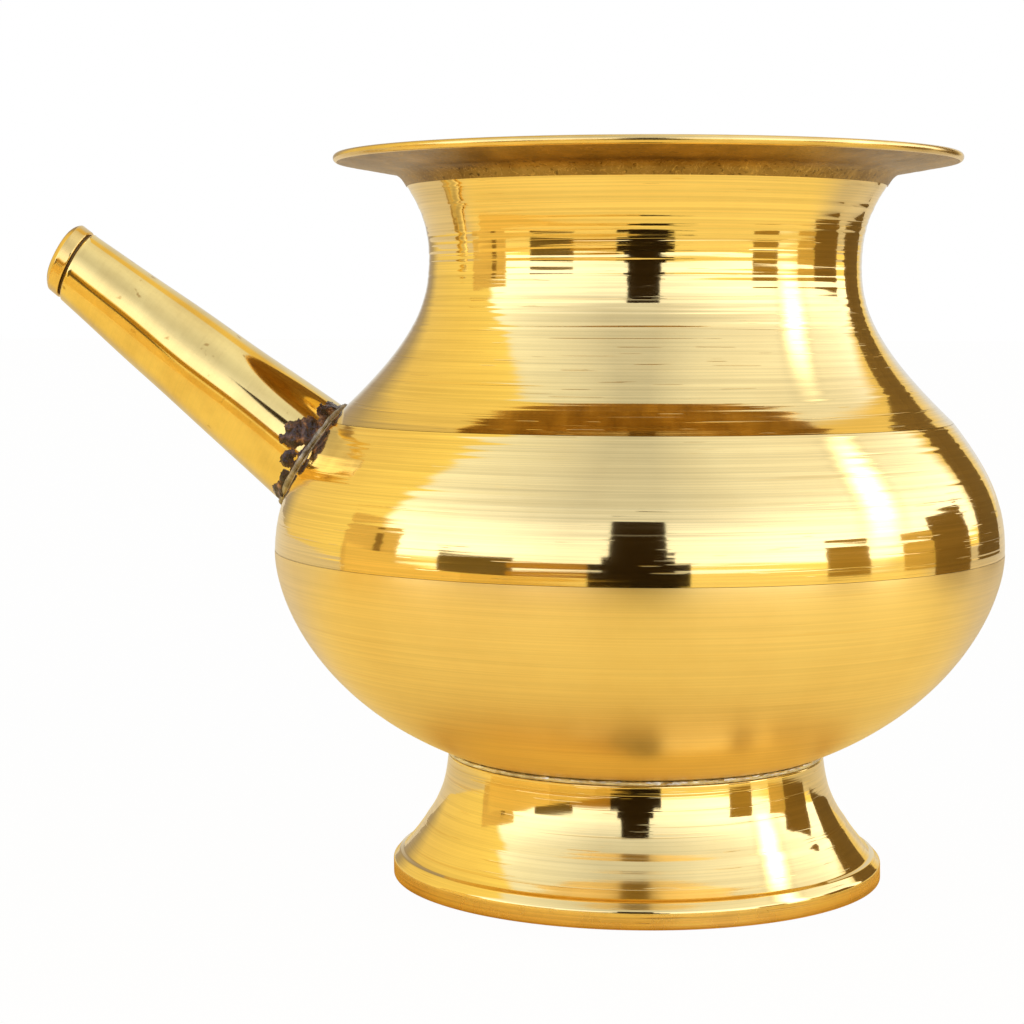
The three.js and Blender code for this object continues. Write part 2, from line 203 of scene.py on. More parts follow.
# The glow dims towards the pot's axis: a painted contact shadow.
strength = between(tree, away, *PAINTED_SHADOW_GLOW_REACH, *PAINTED_SHADOW_GLOW)
warm = shade(tree, "Emission", {"Color": tint_and_painted_shadow, "Strength": strength})
mirrored = math_node(tree, "MAXIMUM", rays.outputs["Is Glossy Ray"], rays.outputs["Is Transmission Ray"])
part_warm = math_node(tree, "MULTIPLY", mirrored, WARM_SHARE)
in_metal = shade(tree, "MixShader", {0: part_warm, 1: paper.outputs[0], 2: warm.outputs[0]})
part_white = math_node(tree, "MULTIPLY", rays.outputs["Is Camera Ray"], WHITE_SHARE)
top = shade(tree, "MixShader", {0: part_white, 1: in_metal.outputs[0], 2: white.outputs[0]})
tree.links.new(top.outputs[0], out.inputs["Surface"])
corners = [(x * TABLE_REACH, y * TABLE_REACH, TABLE_DROP) for x, y in ((-1, -1), (1, -1), (1, 1), (-1, 1))]
table = card("table_top", corners, table_material)
table.visible_camera = True


def dull_cloth(name, color):
    """Plain dull cloth for a card."""
    material, tree, out = blank_material(name)
    cloth = shade(tree, "BsdfDiffuse", {"Color": (*color, 1.0)})
    tree.links.new(cloth.outputs[0], out.inputs["Surface"])
    return material


black_cloth = dull_cloth("black_cloth", (0.032, 0.022, 0.011))
brown_cloth = dull_cloth("brown_cloth", (0.2, 0.13, 0.045))
olive_cloth = dull_cloth("olive_cloth", (0.19, 0.14, 0.05))
ochre_cloth = dull_cloth("ochre_cloth", (0.26, 0.17, 0.055))
amber_cloth = dull_cloth("amber_cloth", (0.62, 0.38, 0.06))
tan_cloth = dull_cloth("tan_cloth", (0.78, 0.59, 0.22))
straw_cloth = dull_cloth("straw_cloth", (0.46, 0.33, 0.11))
gold_cloth = dull_cloth("gold_cloth", (0.95, 0.75, 0.29))


def front_card(name, left, right, bottom, top, y, material):
    """An upright card across the front. Its sides are measured from the pot's axis."""
    left, right = AXIS_X + left, AXIS_X + right
    card(name, [(left, y, bottom), (right, y, bottom), (right, y, top), (left, y, top)], material)


def stage_spot(degrees, reach):
    """The spot at a bearing from the front, to the right, and at a reach from the pot's axis."""
    angle = math.radians(degrees)
    return AXIS_X + reach * math.sin(angle), -reach * math.cos(angle)


def bearing_card(name, near, far, bottom, top, reach, material, top_bearings=None):
    """An upright card between two bearings, at a reach. Its top edge may have two bearings of its own."""
    top_near, top_far = top_bearings or (near, far)
    places = ((near, bottom), (far, bottom), (top_far, top), (top_near, top))
    card(name, [(*stage_spot(degrees, reach), height) for degrees, height in places], material)


FLAG_Y, MAT_HEIGHT = -0.43, 0.0005
front_card("camera_foot", -0.09, 0.13, 0.0, 0.095, FLAG_Y, black_cloth)
front_card("camera_base", -0.06, 0.095, 0.095, 0.14, FLAG_Y, black_cloth)
front_card("camera_body", -0.046, 0.078, 0.14, 0.33, FLAG_Y, black_cloth)
for name, left, right, near, far in (
    ("camera_mat", -0.04, 0.1, FLAG_Y, -0.33),
    ("camera_bar", -0.085, 0.155, -0.325, -0.285),
):
    spots = ((left, near), (right, near), (right, far), (left, far))
    card(name, [(AXIS_X + x, y, MAT_HEIGHT) for x, y in spots], black_cloth)
bearing_card("left_bench", -58, -34, 0.0, 0.16, 0.62, olive_cloth)
bearing_card("left_edge", -82, -79, 0.0, 0.17, 0.5, ochre_cloth)
bearing_card("left_screen", -97, -73, 0.0, 0.25, 0.6, tan_cloth)
bearing_card("right_post", 58, 73, 0.0, 0.19, 0.6, straw_cloth)
bearing_card("right_shelf", 86, 110, 0.0, 0.17, 0.6, tan_cloth)
bearing_card("right_curtain", 125, 149, 0.0, 0.5, 0.6, brown_cloth, (139, 152))
BOARD_REACH = 0.28
BOARD_TOP = ((-90, 0.085), (-47, 0.05), (-20, 0.032), (0, 0.014))
for index, ((near, near_top), (far, far_top)) in enumerate(zip(BOARD_TOP, BOARD_TOP[1:])):
    start, end = stage_spot(near, BOARD_REACH), stage_spot(far, BOARD_REACH)
    corners = [(*start, 0.0), (*end, 0.0), (*end, far_top), (*start, near_top)]
    card(f"left_board_{index}", corners, gold_cloth)
bearing_card("right_box", 97, 117, 0.0, 0.15, 0.35, ochre_cloth)
front_card("front_rail", -0.4, -0.06, 0.035, 0.1, -0.5, amber_cloth)

LAMP_X = AXIS_X + 0.75
LAMP_CORNERS = ((-0.47, -0.2), (-0.09, -0.2), (0.46, 1.25), (0.08, 1.25))
LAMP_COLOR, LAMP_RADIANCE = (1.0, 0.99, 0.96, 1.0), 4.5
LAMP_CORE = 0.1
lamp_face, tree, out = blank_material("right_lamp_face")
face = shade(tree, "SeparateXYZ", {0: shade(tree, "UVMap", uv_map="face").outputs[0]})
fades = []
for axis in ("X", "Y"):
    off = math_node(tree, "ABSOLUTE", math_node(tree, "MULTIPLY_ADD", face.outputs[axis], 2.0, -1.0))
    fades.append(between(tree, off, 1.0, LAMP_CORE, smooth=True))
fade = math_node(tree, "MULTIPLY", fades[0], fades[1])
strength = math_node(tree, "MULTIPLY", fade, LAMP_RADIANCE)
light = shade(tree, "Emission", {"Color": LAMP_COLOR, "Strength": strength})
clear = shade(tree, "BsdfTransparent")
pane = shade(tree, "MixShader", {0: fade, 1: clear.outputs[0], 2: light.outputs[0]})
tree.links.new(pane.outputs[0], out.inputs["Surface"])
card("right_lamp", [(LAMP_X, y, z) for y, z in LAMP_CORNERS], lamp_face)

# LOWER BOWL
# The closed cup below the widest line, spun from sheet brass and rubbed to a satin all round.
# It is the base of the vessel: its upper edge slips a few millimetres into the shoulder band.
MM = 0.001
BASE = (0.0, 14.8 * MM)
BELLY = (56.0 * MM, 50.9 * MM)
CREASE = (47.7 * MM, 70.6 * MM)
BOWL_FLATNESS, BOWL_FULLNESS = 0.77, 0.29
SHOULDER_LEAN = -38.6
WALL = 1.5 * MM
LAP = 4.0 * MM
SPIGOT_DEPTH = 0.82 * MM
BEND_SHARE = 0.37
STRAY_HEIGHTS = np.array((0.0, 25.0, 50.9, 70.6, 94.6, 111.0)) * MM
STRAY_OFFSETS = np.array((0.0, -0.3, -0.1, 0.25, 0.75, 0.95)) * MM
AROUND = 192
INNER_STEP = 1.0 * MM
SHARP_EDGE = math.radians(32)
MARK_BANDS, MARK_WIDTHS = 500, (0.35, 1.65)
MARK_WAVES, WAVE_LOSS = 12, 0.6
CENTRE_CALM = 3.0 * MM


def stray(height):
    """How far the handmade pot's middle wanders from its axis at a height."""
    return np.interp(height, STRAY_HEIGHTS, STRAY_OFFSETS)


def curve(*corners):
    """Fine points along the curve that four corners of radius and height pull."""
    t = np.linspace(0.0, 1.0, 500)[:, None]
    a, b, c, d = (np.array(p, float) for p in corners)
    return (1 - t) ** 3 * a + 3 * t * (1 - t) ** 2 * b + 3 * t * t * (1 - t) * c + t**3 * d


def bend(start, start_lean, end, end_lean):
    """Fine points along a rising curve of the outline, with its lean off upright at each end."""
    reach = BEND_SHARE * (end[1] - start[1])
    leave = (start[0] + reach * math.tan(math.radians(start_lean)), start[1] + reach)
    arrive = (end[0] - reach * math.tan(math.radians(end_lean)), end[1] - reach)
    return curve(start, leave, arrive, end)


def smooth_step(share):
    """An even rise from nought to one."""
    share = np.clip(share, 0.0, 1.0)
    return share * share * (3 - 2 * share)


def full_turn(count):
    """Even angles round a circle."""
    return np.linspace(0.0, 2 * math.pi, count, endpoint=False)


def lengths_along(path):
    """The distance along a path at each of its points."""
    return np.concatenate([[0.0], np.cumsum(np.linalg.norm(np.diff(path, axis=0), axis=1))])


def strip(path, start, stop, depth, step):
    """Evenly spaced points between two distances along a rising path, set inward by a depth."""
    reached = lengths_along(path)
    count = max(1, math.ceil(abs(stop - start) / step))
    places = np.clip(np.linspace(start, stop, count + 1), 0.0, reached[-1])
    heading = np.gradient(path, reached, axis=0)
    heading /= np.linalg.norm(heading, axis=1)[:, None]
    inward = np.stack([-heading[:, 1], heading[:, 0]], axis=1)
    found = [np.interp(places, reached, path[:, k]) + depth * np.interp(places, reached, inward[:, k])
             for k in (0, 1)]
    return np.maximum(np.stack(found, axis=1), 0.0)


def point_on(path, place, depth):
    """One point at a distance along a rising path, set inward by a depth."""
    return strip(path, place, place, depth, MM)[0]


def tool_marks(points, seed, pitch, depth, around=AROUND):
    """How deep the lathe tool went: narrow bands of uneven width that change slowly round the pot."""
    rng = np.random.default_rng(seed)
    edges = np.cumsum(rng.uniform(*MARK_WIDTHS, MARK_BANDS) * pitch)
    turn = full_turn(around)
    waves = np.zeros((MARK_BANDS, around))
    for harmonic in range(MARK_WAVES):
        size = rng.normal(0.0, depth / (1 + WAVE_LOSS * harmonic), (MARK_BANDS, 1))
        waves += size * np.cos(harmonic * turn + rng.uniform(0, 2 * math.pi, (MARK_BANDS, 1)))
    waves -= waves.min()
    places = lengths_along(points)
    return np.stack([np.interp(places, edges, waves[:, k]) for k in range(around)], axis=1)


def swept(name, rings, finishes, row_finish, closed, place):
    """A piece skinned over rings of points. Rings that shrink to a point close its end."""
    count, around, _ = rings.shape
    rows = [(i, (i + 1) % count) for i in range(count if closed else count - 1)]
    middle = lengths_along(np.concatenate([rings, rings[:1]])[:, 0])
    mesh = bpy.data.meshes.new(name)
    build = bmesh.new()
    verts = [build.verts.new(p) for p in rings.reshape(-1, 3) @ np.array(place.to_3x3()).T]
    uv = build.loops.layers.uv.new("turning")
    for i, k in rows:
        for j in range(around):
            n = (j + 1) % around
            corners = (i * around + j, i * around + n, k * around + n, k * around + j)
            face = build.faces.new([verts[c] for c in corners])
            face.smooth = True
            face.material_index = row_finish[i]
            for loop, u, v in zip(face.loops, (j, j + 1, j + 1, j), (i, i, i + 1, i + 1)):
                loop[uv].uv = (u / around, middle[v])
    bmesh.ops.remove_doubles(build, verts=build.verts, dist=1e-8)
    if build.calc_volume(signed=True) < 0:
        bmesh.ops.reverse_faces(build, faces=build.faces)
    build.to_mesh(mesh)
    build.free()
    mesh.set_sharp_from_angle(angle=SHARP_EDGE)
    for finish in finishes:
        mesh.materials.append(finish)
    piece = bpy.data.objects.new(name, mesh)
    piece.location = place.translation
    scene.collection.objects.link(piece)
    return piece


def turned(name, runs, finishes, around=AROUND):
    """A piece turned about the vessel's axis. Each run of its outline has points, a finish and tool marks."""
    rings, row_finish = [], []
    turn = full_turn(around)
    for points, finish, marks in runs:
        heading = np.gradient(points, axis=0)
        heading /= np.linalg.norm(heading, axis=1)[:, None]
        radius = np.maximum(points[:, :1] - marks * heading[:, 1:], 0.0)
        height = points[:, 1:] + marks * heading[:, :1]
        spread = np.broadcast_arrays(stray(height) + radius * np.cos(turn), radius * np.sin(turn), height)
        rings.append(np.stack(spread, axis=2))
        row_finish += [finish] * len(points)
    closed = bool(runs[0][0][0, 0] > 0.0)
    axis = Matrix.Translation((AXIS_X, 0.0, 0.0))
    return swept(name, np.concatenate(rings), finishes, row_finish, closed, axis)


def shader_group(name, inputs, outputs):
    """An empty shader node group with named sockets, and its inside ends. A colour socket has four values."""
    group = bpy.data.node_groups.new(name, "ShaderNodeTree")
    for label, value in inputs:
        kind = "NodeSocketColor" if isinstance(value, tuple) else "NodeSocketFloat"
        group.interface.new_socket(label, in_out="INPUT", socket_type=kind).default_value = value
    for label, kind in outputs:
        group.interface.new_socket(label, in_out="OUTPUT", socket_type=kind)
    return group, group.nodes.new("NodeGroupInput").outputs, group.nodes.new("NodeGroupOutput").inputs


def cloud_noise(tree, place, scale, detail, roughness=0.5, distortion=0.0):
    """Cloudy noise at a place."""
    return shade(tree, "TexNoise", {
        "Vector": place, "Scale": scale, "Detail": detail, "Roughness": roughness, "Distortion": distortion,
    }).outputs[0]


def stretched_noise(tree, along_scale, across_scale, detail):
    """Noise that is long round the pot and short along its outline."""
    spot = shade(tree, "SeparateXYZ", {0: shade(tree, "TexCoord").outputs["Object"]})
    turning = shade(tree, "UVMap", uv_map="turning")
    track = shade(tree, "SeparateXYZ", {0: turning.outputs[0]})
    where = shade(tree, "CombineXYZ", {
        0: math_node(tree, "MULTIPLY", spot.outputs["X"], along_scale),
        1: math_node(tree, "MULTIPLY", spot.outputs["Y"], along_scale),
        2: math_node(tree, "MULTIPLY", track.outputs["Y"], across_scale),
    })
    return cloud_noise(tree, where.outputs[0], 1.0, detail, 0.55)


def line_mask(tree, along_scale, across_scale, low, high):
    """Lines round the pot, wherever stretched noise rises from one value to another."""
    return between(tree, stretched_noise(tree, along_scale, across_scale, 1.0), low, high, smooth=True)


lines, given, made = shader_group(
    "turning_lines",
    [("Coarse Depth", 4e-6), ("Fine Depth", 1e-6), ("Score Depth", 8e-6)],
    [("Height", "NodeSocketFloat"), ("Scores", "NodeSocketFloat"), ("Streaks", "NodeSocketFloat")],
)
coarse = stretched_noise(lines, 30.0, 900.0, 2.0)
fine = stretched_noise(lines, 30.0, 3600.0, 2.0)
broad = line_mask(lines, 24.0, 1300.0, 0.25, 0.75)
hair = line_mask(lines, 18.0, 4200.0, 0.3, 0.7)
long_scores = line_mask(lines, 18.0, 1700.0, 0.66, 0.74)
short_scores = line_mask(lines, 90.0, 3000.0, 0.69, 0.77)
scores = math_node(lines, "MAXIMUM", long_scores, short_scores)
cut_depth = math_node(lines, "MULTIPLY", scores, given["Score Depth"])
height = math_node(lines, "MULTIPLY", coarse, given["Coarse Depth"])
height = math_node(lines, "MULTIPLY_ADD", fine, given["Fine Depth"], height)
height = math_node(lines, "SUBTRACT", height, cut_depth)
HAIR_SHARE, BROAD_SHARE = 0.6, 0.4
streaks = math_node(lines, "MULTIPLY", broad, BROAD_SHARE)
streaks = math_node(lines, "MULTIPLY_ADD", hair, HAIR_SHARE, streaks)
for label, value in (("Height", height), ("Scores", scores), ("Streaks", streaks)):
    lines.links.new(value, made[label])

tone, given, made = shader_group(
    "brass_tone",
    [("Brass", (0.9, 0.69, 0.3, 1.0)), ("Tarnish", (0.6, 0.36, 0.1, 1.0)), ("Amount", 0.3), ("Mottle Scale", 70.0),
     ("Roughness", 0.15), ("Spread", 0.05), ("Streaks", 0.5), ("Scores", 0.0), ("Streak Amount", 0.1),
     ("Score Amount", 0.5)],
    [("Color", "NodeSocketColor"), ("Roughness", "NodeSocketFloat")],
)
spot = shade(tone, "TexCoord").outputs["Object"]
clouds = cloud_noise(tone, spot, given["Mottle Scale"], 5.0, 0.6)
patch = between(tone, clouds, 0.42, 0.75)
dull = math_node(tone, "MULTIPLY", patch, given["Amount"], clamp=True)
scored = math_node(tone, "MULTIPLY", given["Scores"], given["Score Amount"])
dull = math_node(tone, "MAXIMUM", dull, scored)
mixed = color_mix(tone, dull, given["Brass"], given["Tarnish"])
lift = math_node(tone, "SUBTRACT", given["Streaks"], 0.5)
lift = math_node(tone, "MULTIPLY", lift, 2.0)
lift = math_node(tone, "MULTIPLY_ADD", lift, given["Streak Amount"], 1.0)
shine = color_mix(tone, 1.0, mixed, lift, blend_type="MULTIPLY", clamp_result=True)
tone.links.new(shine, made["Color"])
uneven = math_node(tone, "MULTIPLY_ADD", clouds, given["Spread"], given["Roughness"])
tone.links.new(uneven, made["Roughness"])


def brass(name, color, tarnish, amount, roughness, spread, depths, anisotropy, streak, score, mottle=70.0,
          specks=False):
    """A brass finish from the shared tone and turning lines. Specks of tarnish may take the scores' place."""
    material, tree, out = blank_material(name)
    turning = shade(tree, "Group", node_tree=lines)
    for key, value in zip(("Coarse Depth", "Fine Depth", "Score Depth"), depths):
        turning.inputs[key].default_value = value
    scores = turning.outputs["Scores"]
    if specks:
        spot = shade(tree, "TexCoord").outputs["Object"]
        scores = between(tree, cloud_noise(tree, spot, 520.0, 2.0), 0.68, 0.76)
    toned = shade(tree, "Group", {
        "Brass": (*color, 1.0), "Tarnish": (*tarnish, 1.0), "Amount": amount, "Mottle Scale": mottle,
        "Roughness": roughness, "Spread": spread, "Streaks": turning.outputs["Streaks"], "Scores": scores,
        "Streak Amount": streak, "Score Amount": score,
    }, node_tree=tone)
    bump = shade(tree, "Bump", {"Strength": 1.0, "Distance": 1.0, "Height": turning.outputs["Height"]})
    tangent = shade(tree, "Tangent", direction_type="RADIAL", axis="Z")
    metal = shade(tree, "BsdfPrincipled", {
        "Base Color": toned.outputs["Color"],
        "Roughness": toned.outputs["Roughness"],
        "Metallic": 1.0,
        "Anisotropic": anisotropy,
        "Anisotropic Rotation": 0.25,
        "Normal": bump.outputs[0],
        "Tangent": tangent.outputs[0],
    })
    tree.links.new(metal.outputs[0], out.inputs["Surface"])
    return material


satin_brass = brass(
    "satin_brass", (0.91, 0.7, 0.31), (0.76, 0.5, 0.16), amount=0.25, roughness=0.3, spread=0.05,
    depths=(5e-6, 1.5e-6, 2e-6), anisotropy=0.8, streak=0.06, score=0.25,
)
inner_brass = brass(
    "inner_brass", (0.62, 0.45, 0.18), (0.34, 0.21, 0.08), amount=0.7, roughness=0.36, spread=0.16,
    depths=(4e-6, 2e-6, 6e-6), anisotropy=0.3, streak=0.2, score=0.5,
)
bowl_side = (BELLY[0], BELLY[1] - BOWL_FULLNESS * (BELLY[1] - BASE[1]))
bowl_path = curve(BASE, (BOWL_FLATNESS * BELLY[0], BASE[1]), bowl_side, BELLY)
shoulder_path = bend(BELLY, 0.0, CREASE, SHOULDER_LEAN)
bowl_end = lengths_along(bowl_path)[-1]
shoulder_end = lengths_along(shoulder_path)[-1]
outer = strip(bowl_path, 0.0, bowl_end, 0.0, 0.3 * MM)
marks = tool_marks(outer, seed=11, pitch=0.8 * MM, depth=2e-6)
lower_bowl = turned("bowl_cup", [
    (outer, 0, marks * smooth_step(outer[:, :1] / CENTRE_CALM)),
    (strip(shoulder_path, 0.0, LAP, SPIGOT_DEPTH, INNER_STEP), 1, 0.0),
    (strip(shoulder_path, LAP, 0.0, WALL, INNER_STEP), 1, 0.0),
    (strip(bowl_path, bowl_end, 0.0, WALL, INNER_STEP), 1, 0.0),
], [satin_brass, inner_brass])
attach(lower_bowl, "root")
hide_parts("lower_bowl")

# SHOULDER BAND
# The bright band from the widest line up to the crease, turned from a brass ring, with fine tool lines.
# It slips over the bowl's edge and is pierced behind the spout; its own upper edge goes into the neck.
WAIST = (33.2 * MM, 94.6 * MM)
COLLAR = (36.7 * MM, 106.3 * MM)
NECK_LEAN, COLLAR_LEAN = -46.6, 32.7
FINE_STEP = 0.13 * MM
SEAM = 0.05 * MM
SOCKET_DEPTH, SOCKET_LENGTH = 0.68 * MM, 5.4 * MM
SPOUT_RISE = 14.5 * MM
SPOUT_SLOPE = math.radians(38.1)
SPOUT_HOLE = 5.7 * MM
DRILL_SIDES, DRILL_REACH = 64, 10.0 * MM
SLIVER = 0.01 * MM

turned_brass = brass(
    "turned_brass", (0.9, 0.69, 0.3), (0.72, 0.47, 0.15), amount=0.2, roughness=0.06, spread=0.04,
    depths=(9e-6, 2e-6, 9e-6), anisotropy=0.6, streak=0.13, score=0.3,
)
neck_path = np.concatenate([bend(CREASE, NECK_LEAN, WAIST, 0.0), bend(WAIST, 0.0, COLLAR, COLLAR_LEAN)[1:]])
neck_end = lengths_along(neck_path)[-1]
outer = strip(shoulder_path, SEAM, shoulder_end, 0.0, FINE_STEP)
shoulder_band = turned("shoulder", [
    (outer, 0, tool_marks(outer, seed=23, pitch=0.5 * MM, depth=11e-6)),
    (strip(neck_path, 0.0, LAP, SPIGOT_DEPTH, INNER_STEP), 1, 0.0),
    (strip(neck_path, LAP, WALL / 2, WALL, INNER_STEP), 1, 0.0),
    (strip(shoulder_path, shoulder_end - WALL / 2, SOCKET_LENGTH, WALL, INNER_STEP), 1, 0.0),
    (strip(shoulder_path, SOCKET_LENGTH, SEAM, SOCKET_DEPTH, INNER_STEP), 1, 0.0),
], [turned_brass, inner_brass])

root_height = BELLY[1] + SPOUT_RISE
root_radius = np.interp(root_height, shoulder_path[:, 1], shoulder_path[:, 0])
spout_out = Vector((-math.cos(SPOUT_SLOPE), 0.0, math.sin(SPOUT_SLOPE)))
spout_top = Vector((math.sin(SPOUT_SLOPE), 0.0, math.cos(SPOUT_SLOPE)))
spout_frame = Matrix((spout_top, (0.0, 1.0, 0.0), spout_out)).transposed().to_4x4()
spout_frame.translation = (AXIS_X + stray(root_height) - root_radius, 0.0, root_height)

drill_outline = ((0.0, -DRILL_REACH), (SPOUT_HOLE, -DRILL_REACH), (SPOUT_HOLE, DRILL_REACH), (0.0, DRILL_REACH))
drill_rings = [[(r * math.cos(a), r * math.sin(a), z) for a in full_turn(DRILL_SIDES)] for r, z in drill_outline]
drill = swept("drill", np.array(drill_rings), [inner_brass], [0] * len(drill_rings), False, spout_frame)
cut = shoulder_band.modifiers.new("spout_hole", "BOOLEAN")
cut.operation, cut.solver, cut.object = "DIFFERENCE", "EXACT", drill
bored = bpy.data.meshes.new_from_object(shoulder_band.evaluated_get(bpy.context.evaluated_depsgraph_get()))
shoulder_band.modifiers.clear()
build = bmesh.new()
build.from_mesh(bored)
bmesh.ops.dissolve_degenerate(build, dist=SLIVER, edges=build.edges)
build.to_mesh(bored)
build.free()
shoulder_band.data = bored
bpy.data.objects.remove(drill)
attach(shoulder_band, "root")
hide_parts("shoulder_band")

# NECK SLEEVE
# The drawn-in neck between crease and rim, turned bright like the shoulder but with coarser lines.
# It drops over the shoulder's edge below and takes the rim's collar above.
HOLLOW_DEPTH, HOLLOW_SPREAD = 0.45 * MM, 0.68
HOLLOW_RISE, HOLLOW_FADE, HOLLOW_CURVE = 6.4 * MM, 11.0 * MM, 2.1
CALM_START, CALM_LENGTH, CALM_SHARE = 6.0 * MM, 3.0 * MM, 0.8
COARSE_START, COARSE_LENGTH = 15.0 * MM, 8.0 * MM
MARK_PITCH = 0.4 * MM
outer = strip(neck_path, SEAM, neck_end - SEAM, 0.0, FINE_STEP)
reached = lengths_along(outer)[:, None]
front = full_turn(AROUND) + math.pi / 2
rise = 1 - (1 - np.clip(reached / HOLLOW_RISE, 0.0, 1.0)) ** HOLLOW_CURVE
fade = 1 - np.sin(math.pi / 2 * np.clip((reached - HOLLOW_RISE) / HOLLOW_FADE, 0.0, 1.0))
hollow = HOLLOW_DEPTH * rise * fade * smooth_step(HOLLOW_SPREAD + HOLLOW_SPREAD * np.cos(2 * front))
calm = 1 - CALM_SHARE * smooth_step((reached - CALM_START) / CALM_LENGTH)
coarse = smooth_step((reached - COARSE_START) / COARSE_LENGTH)
marks = tool_marks(outer, seed=37, pitch=MARK_PITCH, depth=5e-6) * calm
marks += tool_marks(outer, seed=38, pitch=MARK_PITCH, depth=20e-6) * coarse
neck_sleeve = turned("neck", [
    (outer, 0, marks + hollow),
    (strip(neck_path, neck_end - SEAM, neck_end - SOCKET_LENGTH, SOCKET_DEPTH, INNER_STEP), 1, 0.0),
    (strip(neck_path, neck_end - SOCKET_LENGTH, SOCKET_LENGTH, WALL, INNER_STEP), 1, 0.0),
    (strip(neck_path, SOCKET_LENGTH, SEAM, SOCKET_DEPTH, INNER_STEP), 1, 0.0),
], [turned_brass, inner_brass])
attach(neck_sleeve, "root")
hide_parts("neck_sleeve")

# RIM FLANGE
# A cast ring, left dull and scratched below and rubbed bright along its round edge and on top.
# Its collar goes down into the neck, and a ragged line shows where the bright turning stops.
RIM_TILT = math.radians(10.0)
RIM_HALF = 0.66 * MM
RIM_OVERHANG = 11.2 * MM
COLLAR_LENGTH = 2.2 * MM
FILLET_START, FILLET_REACH = 0.4, 0.6
MOUTH_DROP = 0.4 * MM
CAST_GRAIN = 9e-6
BELOW_STEP, ABOVE_STEP = 0.4 * MM, 0.8 * MM
RIM_AROUND, EDGE_POINTS, FILLET_POINTS, MOUTH_POINTS = 288, 15, 8, 12


def rounding(start, corner, end, steps):
    """Points along a rounded corner of an outline."""
    t = np.linspace(0.0, 1.0, steps)[:, None]
    return (1 - t) ** 2 * np.array(start) + 2 * t * (1 - t) * np.array(corner) + t * t * np.array(end)


def straight(start, end, step):
    """Evenly spaced points along a straight run of an outline."""
    count = max(2, math.ceil(np.linalg.norm(np.subtract(end, start)) / step) + 1)
    return np.linspace(start, end, count)


SKIN_TONES = [(0.32, (0.22, 0.13, 0.04)), (0.52, (0.34, 0.21, 0.07)), (0.7, (0.48, 0.31, 0.11))]
SCRATCH_COLOR, PIT_COLOR = (0.8, 0.55, 0.2, 1.0), (0.05, 0.028, 0.01, 1.0)
CAST_RELIEF = 3e-5
cast_brass, tree, out = blank_material("cast_brass")
spot = shade(tree, "TexCoord").outputs["Object"]
clouds = cloud_noise(tree, spot, 130.0, 4.0, 0.6)
grain = cloud_noise(tree, spot, 1500.0, 3.0, 0.6, 0.7)
swirl = cloud_noise(tree, spot, 420.0, 2.0, distortion=2.5)
off_line = math_node(tree, "ABSOLUTE", math_node(tree, "SUBTRACT", swirl, 0.5))
scratch = between(tree, off_line, 0.02, 0.0, top=0.55)
pits = between(tree, grain, 0.44, 0.3, top=0.85)
skin = color_mix(tree, scratch, color_ramp(tree, clouds, SKIN_TONES), SCRATCH_COLOR)
skin = color_mix(tree, pits, skin, PIT_COLOR)
dullness = between(tree, grain, 0.0, 1.0, 0.22, 0.5)
relief = math_node(tree, "ADD", grain, scratch)
bump = shade(tree, "Bump", {"Strength": 1.0, "Distance": CAST_RELIEF, "Height": relief})
metal = shade(tree, "BsdfPrincipled", {
    "Base Color": skin, "Roughness": dullness, "Metallic": 1.0, "Normal": bump.outputs[0],
})
tree.links.new(metal.outputs[0], out.inputs["Surface"])
rim_polish = brass(
    "rim_polish", (0.86, 0.63, 0.25), (0.5, 0.31, 0.09), amount=0.5, roughness=0.16, spread=0.1,
    depths=(3e-6, 1.5e-6, 4e-6), anisotropy=0.3, streak=0.12, score=0.4,
)
outward = np.array((math.cos(RIM_TILT), math.sin(RIM_TILT)))
across = np.array((-outward[1], outward[0]))
collar_lean = math.radians(COLLAR_LEAN)
up_collar = np.array((math.sin(collar_lean), math.cos(collar_lean)))
collar = np.array(COLLAR)
corner = collar + COLLAR_LENGTH * up_collar
edge = corner + RIM_HALF * across
edge += outward * (collar[0] + RIM_OVERHANG - RIM_HALF - edge[0]) / outward[0]
angles = np.linspace(RIM_TILT - math.pi / 2, RIM_TILT + math.pi / 2, EDGE_POINTS)
edge_round = edge + RIM_HALF * np.stack([np.cos(angles), np.sin(angles)], axis=1)
fillet_start = collar + FILLET_START * (corner - collar)
fillet = rounding(fillet_start, corner, corner + FILLET_REACH * COLLAR_LENGTH * outward, FILLET_POINTS)
joint = point_on(neck_path, neck_end, WALL)
gap = edge_round[-1] - joint
reach = gap[0] * outward[1] - gap[1] * outward[0]
reach /= up_collar[0] * outward[1] - up_collar[1] * outward[0]
inner_corner = joint + reach * up_collar
mouth = rounding(inner_corner + reach * outward, inner_corner, joint, MOUTH_POINTS)
below = np.concatenate([collar[None], fillet, straight(fillet[-1], edge_round[0], BELOW_STEP)[1:-1]])
above = np.concatenate([straight(edge_round[-1], mouth[0], ABOVE_STEP)[1:-1], mouth])
rough = np.random.default_rng(5).normal(0.0, CAST_GRAIN, (len(below), RIM_AROUND))
rough = rough + np.roll(rough, 1, axis=1) + np.roll(rough, 2, axis=1)
rim_flange = turned("rim", [
    (below, 0, rough * np.linspace(0, 1, len(below))[:, None]),
    (edge_round, 1, 0.0),
    (above, 1, 0.0),
    (strip(neck_path, neck_end - MOUTH_DROP, neck_end - LAP, WALL, INNER_STEP), 2, 0.0),
    (strip(neck_path, neck_end - LAP, neck_end - SEAM, SPIGOT_DEPTH, INNER_STEP), 2, 0.0),
], [cast_brass, rim_polish, inner_brass], RIM_AROUND)
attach(rim_flange, "root")
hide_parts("rim_flange")

